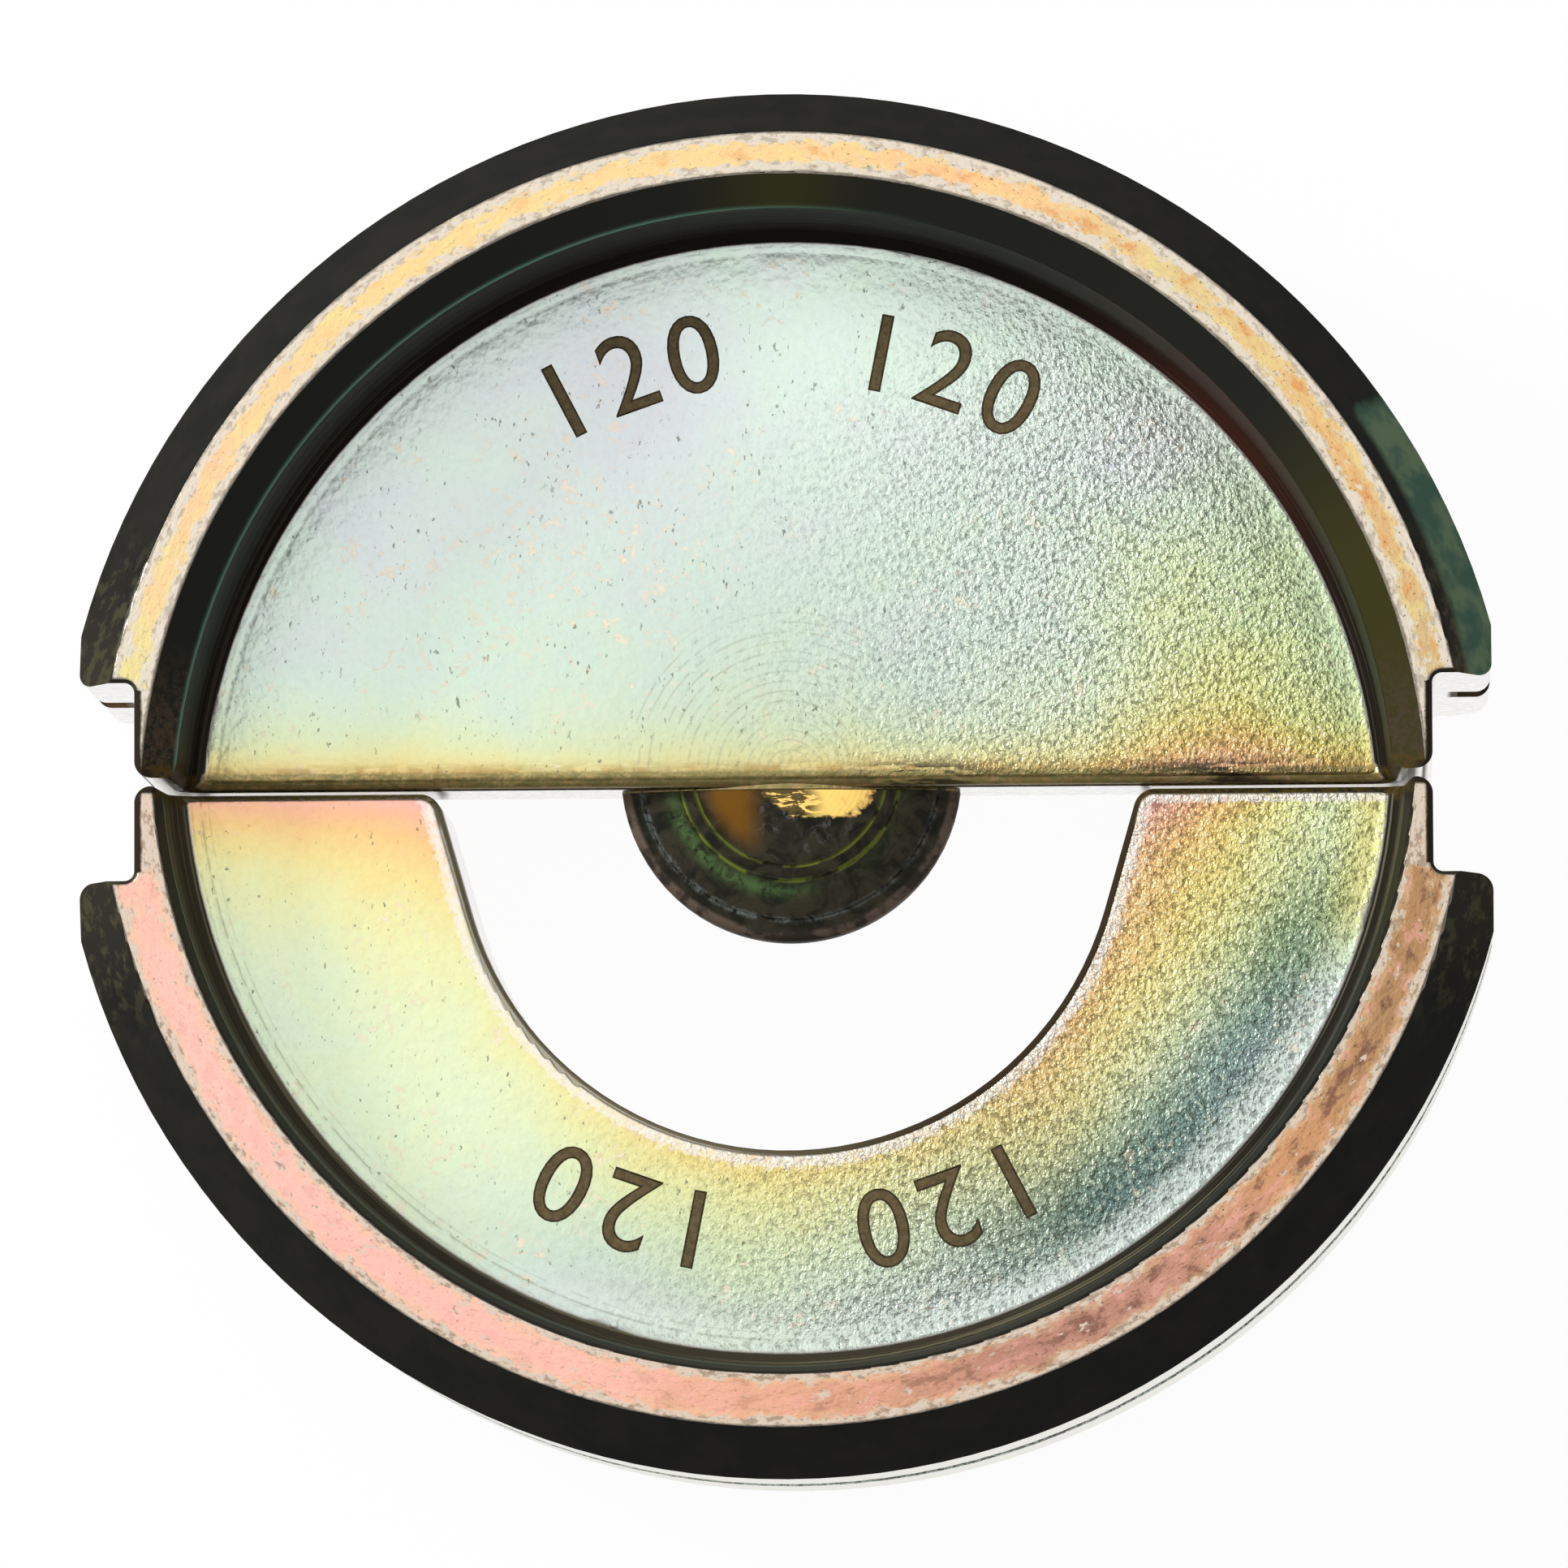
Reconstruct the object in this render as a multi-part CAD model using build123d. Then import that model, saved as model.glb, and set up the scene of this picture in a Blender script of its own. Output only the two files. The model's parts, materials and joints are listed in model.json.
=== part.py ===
from build123d import *
import os
from math import cos, radians, sin, tan

# Two-part die set for a hydraulic crimping head: a punch half and a nest half that lie flat, faces upright.
# Millimetres. Z is the die's axis and the rear rim faces rest on Z = 0. Y runs from the nest half to the
# punch half, with Y = 0 midway between their parting faces, and X = 0 is the plane of symmetry.

# Round back that beds in the press head
jaw_radius = 22.0
jaw_centre_beyond_parting = 1.2
rim_width = 14.0
bevel_depth = 2.4
bevel_radial = 1.45
retaining_groove_width = 1.6
retaining_groove_depth = 1.35

# Flange ends and the neck beside the parting face
flange_flat_depth = 0.75
neck_inset = 1.8
shoulder_height = 2.85
flange_corner_radius = 0.45
notch_fillet = 0.3
neck_corner_radius = 0.5
parting_gap = 0.25

# Recess of the punch half, the same on both faces
punch_rim_face_width = 1.25
punch_mouth_radial = 1.0
punch_mouth_depth = 0.6
punch_wall_slope_radial = 0.15
punch_web_thickness = 3.8

# Recess of the nest half, the same on both faces
nest_rim_face_width = 1.65
nest_mouth_radial = 0.2
nest_mouth_depth = 0.8
nest_wall_slope_radial = 0.2
nest_web_thickness = 7.2

recess_root_fillet = 0.65

# Punch, a lens on the die's axis that stands out of the web's parting edge
punch_radius = 5.18
punch_centre_inside_parting = 0.6
punch_pole_below_web_face = 0.15
punch_edge_thickness = 1.1
punch_edge_radius = 0.5
punch_ring_radii = (2.95, 3.4, 4.55)
punch_ring_depth = 0.07

# Nest, a round bottom with straight sides that open towards the parting face
nest_radius = 9.95
nest_centre_depth = 0.9
nest_side_draft_deg = 16.0
nest_mouth_corner_radius = 0.65

# Edge rounding left by deburring and plating
rim_side_edge_radius = 0.2
rim_end_edge_radius = 0.5
rim_face_edge_radius = 0.12
punch_web_edge_radius = 0.5
nest_edge_radius = 0.3

half_gap = parting_gap / 2
middle = rim_width / 2
flange_half_width = jaw_radius - flange_flat_depth
neck_half_width = flange_half_width - neck_inset
beyond_everything = 2 * jaw_radius
found_within = 0.001


def turned_blank(rim_face_width, mouth_radial, mouth_depth, wall_slope_radial, web_thickness):
    """Disc about Z that one half is milled from: web, rim, bevelled back and retaining groove."""
    web_half = web_thickness / 2
    groove_half = retaining_groove_width / 2
    rim_half = rim_width / 2
    rim_outer_radius = jaw_radius - bevel_radial
    rim_inner_radius = rim_outer_radius - rim_face_width
    mouth_radius = rim_inner_radius - mouth_radial
    wall_radius = mouth_radius - wall_slope_radial
    groove_floor = jaw_radius - retaining_groove_depth
    upper_side = [
        (0, 0),
        (0, web_half),
        (wall_radius, web_half),
        (mouth_radius, rim_half - mouth_depth),
        (rim_inner_radius, rim_half),
        (rim_outer_radius, rim_half),
        (jaw_radius, rim_half - bevel_depth),
        (jaw_radius, groove_half),
        (groove_floor, groove_half),
        (groove_floor, 0),
    ]
    section = make_face(Polyline(*upper_side, close=True))
    rounded = (
        ((wall_radius, web_half), recess_root_fillet),
        ((rim_inner_radius, rim_half), rim_face_edge_radius),
        ((rim_outer_radius, rim_half), rim_face_edge_radius),
    )
    for corner, radius in rounded:
        section = fillet(section.vertices().sort_by_distance(corner)[0], radius)
    upper = revolve(Plane.XZ * section, Axis.Z)
    return Pos(0, -jaw_centre_beyond_parting, middle) * (upper + mirror(upper, Plane.XY))


def milled_outline():
    """Plan of one half: parting face at Y = 0, neck, notch and flange ends, open beyond the round back."""
    corners = [
        (0, 0),
        (neck_half_width, 0),
        (neck_half_width, shoulder_height),
        (flange_half_width, shoulder_height),
        (flange_half_width, beyond_everything),
        (0, beyond_everything),
    ]
    side = make_face(Polyline(*corners, close=True))
    rounded = (
        ((neck_half_width, 0), neck_corner_radius),
        ((neck_half_width, shoulder_height), notch_fillet),
        ((flange_half_width, shoulder_height), flange_corner_radius),
    )
    for corner, radius in rounded:
        side = fillet(side.vertices().sort_by_distance(corner)[0], radius)
    return side + mirror(side, Plane.YZ)


def milling_envelope():
    """Outline as wide as the rim, with its face edges rounded and its rim ends rounded more."""
    block = extrude(milled_outline(), rim_width).solid()
    block = block.fillet(rim_side_edge_radius, block.faces().filter_by(Axis.Z).edges())
    far = beyond_everything
    bar_section = make_face(Polyline((0, 0), (0, rim_width), (far, rim_width), (far, 0), close=True))
    for corner in ((0, 0), (0, rim_width)):
        bar_section = fillet(bar_section.vertices().sort_by_distance(corner)[0], rim_end_edge_radius)
    bar = extrude(Plane.YZ * bar_section, beyond_everything, both=True)
    return block & bar


def sawn_half(blank):
    """The side of the blank beyond the parting face."""
    keep = Pos(0, beyond_everything / 2, middle)
    return (blank & keep * Box(2 * beyond_everything, beyond_everything, rim_width)).solid()


def with_rounded_web(half, web_thickness, radius):
    """Rounds the edges between the web's faces and its parting face, and what they run smoothly into."""
    heights = (middle - web_thickness / 2, middle + web_thickness / 2)
    straight = half.edges().filter_by(Axis.X).filter_by_position(Axis.Y, -found_within, found_within)
    edges = []
    for edge in straight:
        if min(abs(edge.center().Z - height) for height in heights) < found_within:
            edges.append(edge)
    return half.fillet(radius, edges)


def punch():
    """Lens about the die's axis, with turned rings and a rounded edge, in the plane Y = 0 of the parting face."""
    pole = punch_web_thickness / 2 - punch_pole_below_web_face
    edge_half = punch_edge_thickness / 2
    cap_rise = pole - edge_half
    cap_radius = (punch_radius**2 + cap_rise**2) / (2 * cap_rise)
    half_way = punch_radius / 2

    def cap_height(radius):
        return pole - cap_radius + (cap_radius**2 - radius**2) ** 0.5

    section = make_face(
        [
            Line((0, 0), (0, pole)),
            ThreePointArc((0, pole), (half_way, cap_height(half_way)), (punch_radius, edge_half)),
            Line((punch_radius, edge_half), (punch_radius, 0)),
            Line((punch_radius, 0), (0, 0)),
        ]
    )
    section = fillet(section.vertices().sort_by_distance((punch_radius, edge_half))[0], punch_edge_radius)
    ring_side = punch_ring_depth * 2**0.5
    for radius in punch_ring_radii:
        section -= Pos(radius, cap_height(radius)) * Rot(Z=45) * Rectangle(ring_side, ring_side)
    upper = revolve(Plane.XZ * section, Axis.Z)
    return Pos(0, punch_centre_inside_parting, middle) * (upper + mirror(upper, Plane.XY))


def nest_cutter():
    """Block the shape of the nest, for a half whose parting face is at Y = 0."""
    draft = radians(nest_side_draft_deg)
    tangent_x = nest_radius * cos(draft)
    tangent_y = nest_centre_depth + nest_radius * sin(draft)
    above_y = -nest_radius
    above_x = tangent_x + (tangent_y - above_y) * tan(draft)
    bottom = ThreePointArc(
        (-tangent_x, tangent_y), (0, nest_centre_depth + nest_radius), (tangent_x, tangent_y)
    )
    sides = Polyline((tangent_x, tangent_y), (above_x, above_y), (-above_x, above_y), (-tangent_x, tangent_y))
    return extrude(make_face([bottom, sides]), rim_width)


def make_punch_half():
    blank = turned_blank(
        punch_rim_face_width,
        punch_mouth_radial,
        punch_mouth_depth,
        punch_wall_slope_radial,
        punch_web_thickness,
    )
    half = with_rounded_web(sawn_half(blank), punch_web_thickness, punch_web_edge_radius)
    half = (half & milling_envelope()) + punch()
    return Pos(Y=half_gap) * half.solid()


def make_nest_half():
    blank = turned_blank(
        nest_rim_face_width,
        nest_mouth_radial,
        nest_mouth_depth,
        nest_wall_slope_radial,
        nest_web_thickness,
    )
    half = (sawn_half(blank) - nest_cutter()).solid()
    parting_corners = half.edges().filter_by(Axis.Z).filter_by_position(Axis.Y, -found_within, found_within)
    mouth_corners = parting_corners.sort_by(lambda edge: abs(edge.center().X))[:2]
    half = half.fillet(nest_mouth_corner_radius, mouth_corners).solid()
    half = with_rounded_web(half, nest_web_thickness, nest_edge_radius)
    half = half & milling_envelope()
    return Rot(Z=180) * Pos(Y=half_gap) * half.solid()


if __name__ == "__main__":
    os.makedirs("parts", exist_ok=True)
    export_step(make_punch_half(), "parts/punch_half.step")
    export_step(make_nest_half(), "parts/nest_half.step")
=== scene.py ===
import bpy
import json
from math import cos, pi, radians, sin, tan
from mathutils import Matrix, Vector


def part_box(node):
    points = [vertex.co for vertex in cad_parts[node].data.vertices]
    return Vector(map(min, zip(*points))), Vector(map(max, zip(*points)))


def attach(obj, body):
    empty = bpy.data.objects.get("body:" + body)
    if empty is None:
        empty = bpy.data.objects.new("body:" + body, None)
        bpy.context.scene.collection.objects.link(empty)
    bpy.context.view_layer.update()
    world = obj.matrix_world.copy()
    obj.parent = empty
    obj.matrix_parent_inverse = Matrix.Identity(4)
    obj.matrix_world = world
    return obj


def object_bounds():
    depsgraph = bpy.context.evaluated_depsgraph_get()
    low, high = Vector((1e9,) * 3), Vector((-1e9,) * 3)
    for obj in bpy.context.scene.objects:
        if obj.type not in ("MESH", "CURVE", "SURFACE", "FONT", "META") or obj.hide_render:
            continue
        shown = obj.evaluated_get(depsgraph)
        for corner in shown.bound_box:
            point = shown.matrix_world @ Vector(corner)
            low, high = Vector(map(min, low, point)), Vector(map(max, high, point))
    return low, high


millimetre = 0.001    # in the scene's metres

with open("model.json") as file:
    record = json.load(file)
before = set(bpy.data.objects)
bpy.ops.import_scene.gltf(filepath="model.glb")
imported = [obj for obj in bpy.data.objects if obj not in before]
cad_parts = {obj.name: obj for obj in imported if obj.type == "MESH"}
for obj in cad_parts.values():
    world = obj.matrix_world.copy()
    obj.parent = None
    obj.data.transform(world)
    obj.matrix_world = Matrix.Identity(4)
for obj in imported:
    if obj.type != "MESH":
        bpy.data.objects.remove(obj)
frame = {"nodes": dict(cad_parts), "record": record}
cadLow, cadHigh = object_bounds()
print("frame loaded")

# Sizes of the die in millimetres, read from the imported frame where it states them
mounts = {mount["name"]: mount for mount in frame["record"]["mounts"]}
jawRadius = mounts["punch_jaw_seat"]["dims"]["r_mm"]
nestRadius = mounts["crimp_nest"]["dims"]["r_mm"]
nestCentreY = 1000 * mounts["crimp_nest"]["pos_m"][1]
middleZ = 1000 * cadHigh.z / 2
partingY = -1000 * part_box("nest_half")[1].y
centreInset = jawRadius - 1000 * cadHigh.y    # the jaw circle's centre lies this far past the parting plane

# Sizes that the frame doesn't state
bevelRadial = 1.45
neckInset = 1.8
nestDraft = radians(16)
rimOuter = jawRadius - bevelRadial
neckHalfWidth = 1000 * cadHigh.x - neckInset

# What differs between the halves: lengths in millimetres, tones as they are written on screen. Side is the
# sign of its Y, and turned is 1 where the web is stained, scuffed and rubbed round the punch.
halves = {
    "punch": {
        "node": "punch_half", "side": 1, "webHalf": 1.9, "rimInner": 19.3, "mouthDepth": 0.6, "wall": 18.15,
        "edgeRadius": 0.5, "edgeBorder": 0.08, "edgeTone": "8f8752",
        "coarseSpan": (-4.0, 10.0), "turned": 1.0,
        "ringWear": 0.33, "ringRough": (-20.0, 20.0), "ringDrift": 0.12,
        "ringLight": "f1e592", "ringDark": "e09a55", "ringFringe": "eadf9f",
        "bareLight": "e2dccb", "bareDark": "bfb8a6",
        "ringStops": [
            (0.05, "ccb688"), (0.18, "e6bc7c"), (0.30, "e4ce92"), (0.40, "fccc92"), (0.55, "ffdc9c"),
            (0.72, "fbda98"), (0.84, "ffcfa0"), (0.92, "ebde9a"),
        ],
    },
    "nest": {
        "node": "nest_half", "side": -1, "webHalf": 3.6, "rimInner": 18.9, "mouthDepth": 0.8, "wall": 18.5,
        "edgeRadius": 0.3, "edgeBorder": 0.20, "edgeTone": "e8e2d6",
        "coarseSpan": (-9.0, 6.0), "turned": 0.0,
        "ringWear": 0.27, "ringRough": (-6.0, 14.0), "ringDrift": 0.14,
        "ringLight": "f4b3a6", "ringDark": "774f3e", "ringFringe": "eccf98",
        "bareLight": "d8cdb9", "bareDark": "a89883",
        "ringStops": [
            (0.05, "b48a5c"), (0.14, "b08a5e"), (0.22, "cf9a6c"), (0.30, "c4917a"), (0.38, "ba8873"),
            (0.50, "e6ac8a"), (0.62, "fcc2b0"), (0.84, "ffc8b8"), (0.95, "f8c4ae"),
        ],
    },
}


def tint(code):
    # a colour as it is written on screen, turned into the linear values the shader wants
    parts = [int(code[i:i + 2], 16) / 255 for i in (0, 2, 4)]
    linear = [part / 12.92 if part <= 0.04045 else ((part + 0.055) / 1.055) ** 2.4 for part in parts]
    return (*linear, 1.0)


class Wire:
    # a node's output, wrapped so that shader maths reads as plain sums

    def __init__(self, bench, socket):
        self.bench = bench
        self.socket = socket

    def __add__(self, other):
        return self.bench.maths("ADD", self, other)

    def __sub__(self, other):
        return self.bench.maths("SUBTRACT", self, other)

    def __rsub__(self, other):
        return self.bench.maths("SUBTRACT", other, self)

    def __mul__(self, other):
        return self.bench.maths("MULTIPLY", self, other)

    def __truediv__(self, other):
        return self.bench.maths("DIVIDE", self, other)

    def __neg__(self):
        return self.bench.maths("MULTIPLY", self, -1)

    __radd__ = __add__
    __rmul__ = __mul__


class Bench:
    # one material and the tools that fill it

    def __init__(self, name):
        self.material = bpy.data.materials.new(name)
        self.material.use_nodes = True
        self.tree = self.material.node_tree
        self.tree.nodes.clear()

    def node(self, kind, settings=None, sockets=None, out=0):
        # a socket takes a wire, a plain value or a colour code
        made = self.tree.nodes.new(kind)
        for name, value in (settings or {}).items():
            if name == "stops":
                self.fillRamp(made.color_ramp, value)
            else:
                setattr(made, name, value)
        for name, value in (sockets or {}).items():
            if isinstance(value, Wire):
                self.tree.links.new(value.socket, made.inputs[name])
            else:
                made.inputs[name].default_value = tint(value) if isinstance(value, str) else value
        return Wire(self, made.outputs[out]) if made.outputs else made

    def fillRamp(self, ramp, stops):
        for place, colour in stops[2:]:
            ramp.elements.new(place)
        for element, (place, colour) in zip(ramp.elements, stops):
            element.position = place
            element.color = tint(colour)

    def maths(self, operation, first, second=0.0):
        return self.node("ShaderNodeMath", {"operation": operation}, {0: first, 1: second})

    def smooth(self, value, low, high):
        # 0 up to low, 1 from high on and an S-shaped slope between; high may be the smaller
        settings = {"interpolation_type": "SMOOTHSTEP"}
        return self.node("ShaderNodeMapRange", settings, {0: value, 1: low, 2: high, 3: 0.0, 4: 1.0})

    def fade(self, value, reach):
        # 1 at zero, and about a third at minus one reach
        return self.maths("EXPONENT", value / reach)

    def bell(self, value, centre, width):
        # 1 at the centre, falling off to about a third at one width from it
        offset = (value - centre) / width
        return self.maths("EXPONENT", -(offset * offset))

    def hypot(self, first, second):
        return self.maths("SQRT", first * first + second * second)

    def direction(self, up, along):
        return self.maths("ARCTAN2", up, along) * (180 / pi)

    def most(self, first, second):
        return self.maths("MAXIMUM", first, second)

    def least(self, first, second):
        return self.maths("MINIMUM", first, second)

    def mix(self, factor, under, over, blend="MIX"):
        sockets = {0: factor, 6: under, 7: over}
        return self.node("ShaderNodeMix", {"data_type": "RGBA", "blend_type": blend}, sockets, out=2)

    def ramp(self, value, stops):
        return self.node("ShaderNodeValToRGB", {"stops": stops}, {0: value})

    def point(self, x, y, z):
        return self.node("ShaderNodeCombineXYZ", None, {0: x, 1: y, 2: z})

    def place(self):
        # the point on the object, in millimetres
        onObject = self.node("ShaderNodeTexCoord", out="Object")
        return self.node("ShaderNodeVectorMath", {"operation": "SCALE"}, {0: onObject, "Scale": 1000.0})

    def stretched(self, place, turn, scale):
        sockets = {"Vector": place, "Rotation": (0, 0, radians(turn)), "Scale": scale}
        return self.node("ShaderNodeMapping", {"vector_type": "POINT"}, sockets)

    def noise(self, place, scale, detail, roughness, distortion=0.0):
        sockets = {"Vector": place, "Scale": scale, "Detail": detail, "Roughness": roughness,
                   "Distortion": distortion}
        return self.node("ShaderNodeTexNoise", None, sockets)

    def patch(self, spot, patch):
        # a soft round patch on the web, given as its centre, width and strength
        x, y, width, amount = patch
        return self.bell(self.hypot(spot["x"] - x, spot["y"] - y), 0, width) * amount

    def finish(self, shader):
        self.node("ShaderNodeOutputMaterial", None, {"Surface": shader})
        return self.material


# Where one kind of face gives way to the next, as a normal's share along Z or in millimetres, and the scales
# of the two noises that every face shares
faces = {
    "level": (0.86, 0.965),
    "upright": (0.24, 0.12),
    "rim": (0.3, 0.1),
    "recessBlend": 0.1,
    "webBlend": (-0.15, -0.05),
    "cloudScale": 0.7,
    "dustScale": 4.5,
}


def layOut(bench, half):
    # where a point is on its half, in millimetres and degrees, and which way its face looks
    place = bench.place()
    normal = bench.node("ShaderNodeTexCoord", out="Normal")
    spot = {"place": place}
    for index, name in enumerate("xyz"):
        spot[name] = bench.node("ShaderNodeSeparateXYZ", None, {0: place}, out=index)
    spot["beside"] = bench.maths("ABSOLUTE", spot["x"])
    spot["back"] = spot["y"] * half["side"]    # distance behind the parting plane
    fromCentre = spot["back"] + centreInset
    spot["radius"] = bench.hypot(spot["x"], fromCentre)
    spot["fromWall"] = spot["radius"] - half["wall"]
    spot["angle"] = bench.direction(fromCentre, spot["x"])
    spot["deep"] = middleZ - bench.maths("ABSOLUTE", spot["z"] - middleZ)    # distance below the rim face
    spot["webDeep"] = middleZ - half["webHalf"]
    webStart, webEnd = [spot["webDeep"] + step for step in faces["webBlend"]]
    spot["toWeb"] = bench.smooth(spot["deep"], webStart, webEnd)
    spot["facing"] = bench.maths("ABSOLUTE", bench.node("ShaderNodeSeparateXYZ", None, {0: normal}, out=2))
    spot["level"] = bench.smooth(spot["facing"], *faces["level"])
    spot["upright"] = bench.smooth(spot["facing"], *faces["upright"])
    spot["onRim"] = bench.smooth(spot["deep"], *faces["rim"])
    blend = faces["recessBlend"]
    spot["inRecess"] = bench.smooth(spot["radius"], half["rimInner"] + blend, half["rimInner"] - blend)
    spot["cloud"] = bench.noise(place, faces["cloudScale"], 3.0, 0.6)
    spot["dust"] = bench.noise(place, faces["dustScale"], 4.0, 0.7)
    return spot


def outOfNest(bench, spot):
    # distance from the nest's outline: its round bottom below, its drafted sides above
    rise = spot["y"] - nestCentreY
    fromBottom = bench.hypot(spot["x"], rise) - nestRadius
    fromSide = spot["beside"] * cos(nestDraft) - rise * sin(nestDraft) - nestRadius
    beside = bench.smooth(rise + spot["beside"] * tan(nestDraft), -0.02, 0.02)
    return fromBottom * (1 - beside) + fromSide * beside


# Colours that the clear plating film takes as it gets thicker
filmStops = [
    (0.00, "d6d3dd"),
    (0.10, "d6dfde"),
    (0.20, "d5e7d8"),
    (0.32, "dcebc8"),
    (0.44, "e9eab0"),
    (0.56, "f0dd94"),
    (0.68, "f3c987"),
    (0.80, "f5bc92"),
    (0.92, "f6b9a5"),
    (1.00, "f2a9a0"),
]

# How thick that film is on the punch half's web, and where painted light and painted shade make the web paler
# or darker than the film's colour.
# A span runs along X and a rise along Y, both in millimetres.
punchFilm = {
    "middle": 0.18,
    "patchScale": 0.33, "patchAmount": 0.22,
    "fineScale": 1.7, "fineAmount": 0.07,
    "edgeStart": 0.4, "edgeReach": 1.25, "edgeAmount": 0.50,
    "oliveTilt": 0.3, "oliveBand": (14.2, 3.8), "oliveRise": (11.0, 3.0), "oliveAmount": 0.22,
    "hornCentre": 12.8, "hornWidth": 1.9, "hornReach": 1.6, "hornAmount": 0.16,
    "lilac": [(-4.5, 12.2, 3.6, 0.10), (11.3, 10.4, 2.0, 0.11), (-12.0, 9.5, 4.0, 0.06)],
    "paleTop": (0.0, 15.5, 4.0, 0.17), "paleLeftSpan": (0.0, -12.0), "paleLeft": 0.05,
    "wallRadius": (16.9, 17.5), "wallSpan": (-2.0, 6.0), "wallGain": 0.09,
    "lowEdgeRise": (3.0, 0.8), "lowEdgeLoss": 0.05,
    "rightSpan": (8.0, 15.0), "rightRise": (13.0, 4.0), "rightLeast": 0.6, "rightLoss": (0.19, 0.15, 0.36),
}


def punchWebFilm(bench, spot):
    # mint in the middle, straw towards the parting edge and olive-yellow low on the right
    look = punchFilm
    x, y = spot["x"], spot["y"]
    patches = bench.noise(spot["place"], look["patchScale"], 3.0, 0.55, 0.6) - 0.5
    fine = bench.noise(spot["place"], look["fineScale"], 3.0, 0.6) - 0.5
    inward = -(y - look["edgeStart"])
    towardsEdge = bench.fade(inward, look["edgeReach"]) * look["edgeAmount"]
    lowRight = bench.bell(x + y * look["oliveTilt"], *look["oliveBand"])
    lowRight = lowRight * bench.smooth(y, *look["oliveRise"]) * look["oliveAmount"]
    hornRight = bench.bell(x, look["hornCentre"], look["hornWidth"])
    hornRight = hornRight * bench.fade(inward, look["hornReach"]) * look["hornAmount"]
    lilac = 0
    for patch in look["lilac"]:
        lilac = lilac + bench.patch(spot, patch)
    film = look["middle"] + patches * look["patchAmount"] + fine * look["fineAmount"]
    return film + towardsEdge + lowRight + hornRight - lilac


def punchWebShade(bench, spot):
    # painted light and shade: how bright each channel is against the film's own colour, darker on the right
    # and at the parting edge, paler on the left, at the top and near the wall
    look = punchFilm
    x, y = spot["x"], spot["y"]
    least = look["rightLeast"]
    right = bench.smooth(x, *look["rightSpan"]) * (least + bench.smooth(y, *look["rightRise"]) * (1 - least))
    nearWall = bench.smooth(spot["radius"], *look["wallRadius"]) * bench.smooth(x, *look["wallSpan"])
    nearWall = nearWall * look["wallGain"]
    lowEdge = bench.smooth(y, *look["lowEdgeRise"]) * look["lowEdgeLoss"]
    pale = bench.smooth(x, *look["paleLeftSpan"]) * look["paleLeft"] + bench.patch(spot, look["paleTop"])
    return bench.point(*[1.0 + pale - right * loss + nearWall - lowEdge for loss in look["rightLoss"]])


# The same for the nest half's web, where the film also follows the nest
nestFilm = {
    "hornRise": (-8.0, -3.0),
    "atNest": 0.43, "atNestMiddle": 0.17, "middleSpan": (-11.0, -2.0),
    "atNestRight": 0.13, "rightSpan": (4.0, 9.0),
    "edgeReach": -0.5, "edgeAmount": 0.10,
    "fadeLeft": 0.02, "fadeMiddle": 0.070, "fadeMiddleSpan": (-12.0, -3.0),
    "fadeRight": 0.014, "fadeRightHorn": 0.034, "fadeRightSpan": (6.0, 11.0),
    "leftTop": 0.14, "leftTopRise": (-6.5, -1.0), "leftTopSpan": (0.0, -9.0),
    "hornStart": 0.3, "hornReach": 1.1, "hornAmount": 0.42, "hornSpan": (17.5, 9.0),
    "hornWall": 0.26, "hornWallRadius": (16.3, 17.9), "hornWallSpan": (9.0, 13.0),
    "patchScale": 0.429, "patchAmount": 0.12,
    "fineScale": 1.9, "fineAmount": 0.07,
    "thinnest": 0.14,
    "bandRadius": (16.4, 1.6), "bandSpan": (3.0, 11.0), "bandRise": (-1.0, -5.0),
    "bandLoss": (0.58, 0.50, 0.44),
    "dullSpan": (2.0, 13.0), "dullLoss": (0.08, 0.08, 0.12),
    "bottomRise": (-8.5, -15.0), "bottomSpan": (-14.0, -5.0), "bottomLoss": 0.18,
    "lowRight": (7.2, -11.6, 4.0, 0.16),
    "wallRadius": (16.9, 17.7), "wallRise": (-2.0, -7.0), "wallKeep": 0.72,
    "blueRise": (-9.0, -3.0), "blueOutward": (0.5, 2.5), "hornBlueLoss": 0.14,
    "middleBlue": (-1.5, 4.5), "middleBlueLoss": 0.09,
}


def nestWebFilm(bench, spot):
    # salmon at the horn tops, straw along the nest and mint towards the wall
    look = nestFilm
    x, y, outward = spot["x"], spot["y"], spot["outward"]
    patches = bench.noise(spot["place"], look["patchScale"], 3.0, 0.55, 0.6) - 0.5
    fine = bench.noise(spot["place"], look["fineScale"], 3.0, 0.6) - 0.5
    onHorns = bench.smooth(y, *look["hornRise"])
    atNest = look["atNest"] + bench.smooth(x, *look["middleSpan"]) * look["atNestMiddle"]
    atNest = atNest + bench.fade(outward, look["edgeReach"]) * look["edgeAmount"]
    atNest = atNest + bench.smooth(x, *look["rightSpan"]) * look["atNestRight"]
    fading = look["fadeLeft"] + bench.smooth(x, *look["fadeMiddleSpan"]) * look["fadeMiddle"]
    fadeRight = look["fadeRight"] - onHorns * look["fadeRightHorn"]
    fading = fading + bench.smooth(x, *look["fadeRightSpan"]) * fadeRight
    leftTop = bench.smooth(y, *look["leftTopRise"]) * bench.smooth(x, *look["leftTopSpan"]) * look["leftTop"]
    hornTop = bench.fade(y + look["hornStart"], look["hornReach"]) * look["hornAmount"]
    hornTop = hornTop * bench.smooth(x, *look["hornSpan"])
    onRightHorn = onHorns * bench.smooth(x, *look["hornWallSpan"])
    byWall = bench.smooth(spot["radius"], *look["hornWallRadius"]) * onRightHorn * look["hornWall"]
    film = atNest - outward * fading + leftTop + hornTop + byWall + patches * look["patchAmount"]
    return bench.most(film, look["thinnest"]) + fine * look["fineAmount"]


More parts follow.
